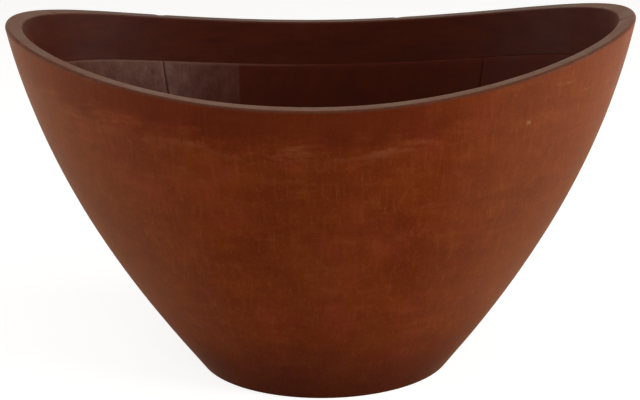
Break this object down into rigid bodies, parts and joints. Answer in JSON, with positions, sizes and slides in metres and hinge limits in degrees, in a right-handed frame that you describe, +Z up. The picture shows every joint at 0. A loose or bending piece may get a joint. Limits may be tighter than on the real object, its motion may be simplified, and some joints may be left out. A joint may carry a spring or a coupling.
{
  "type": "oval boat planter",
  "caption": "Oval boat-shaped plastic planter with a flared wall, a rim that sags front and back, a sheet lining and rubber drain plugs.",
  "frame": {"origin": "centre of the base, on the ground", "axes": "+Z up, +X along the pot towards its right-hand high end, +Y towards the back"},
  "size_m": [0.4987, 0.3014, 0.294],
  "materials": {
    "shell_plastic": "satin rust-brown",
    "lining_sheet": "matt dark brown",
    "plug_rubber": "matt black"
  },
  "bodies": {
    "pot": {"shell": "shell_plastic", "lining_back": "lining_sheet", "lining_front": "lining_sheet", "lining_left_end": "lining_sheet", "lining_right_end": "lining_sheet", "lining_floor": "lining_sheet"},
    "plug_left": {"drain_plug_left": "plug_rubber"},
    "plug_right": {"drain_plug_right": "plug_rubber"}
  },
  "joints": [
    {"name": "plug_left_lift", "type": "slide", "parent": "pot", "child": "plug_left", "axis": [0, 0, 1], "range_m": [0, 0.06]},
    {"name": "plug_right_lift", "type": "slide", "parent": "pot", "child": "plug_right", "axis": [0, 0, 1], "range_m": [0, 0.06]}
  ]
}
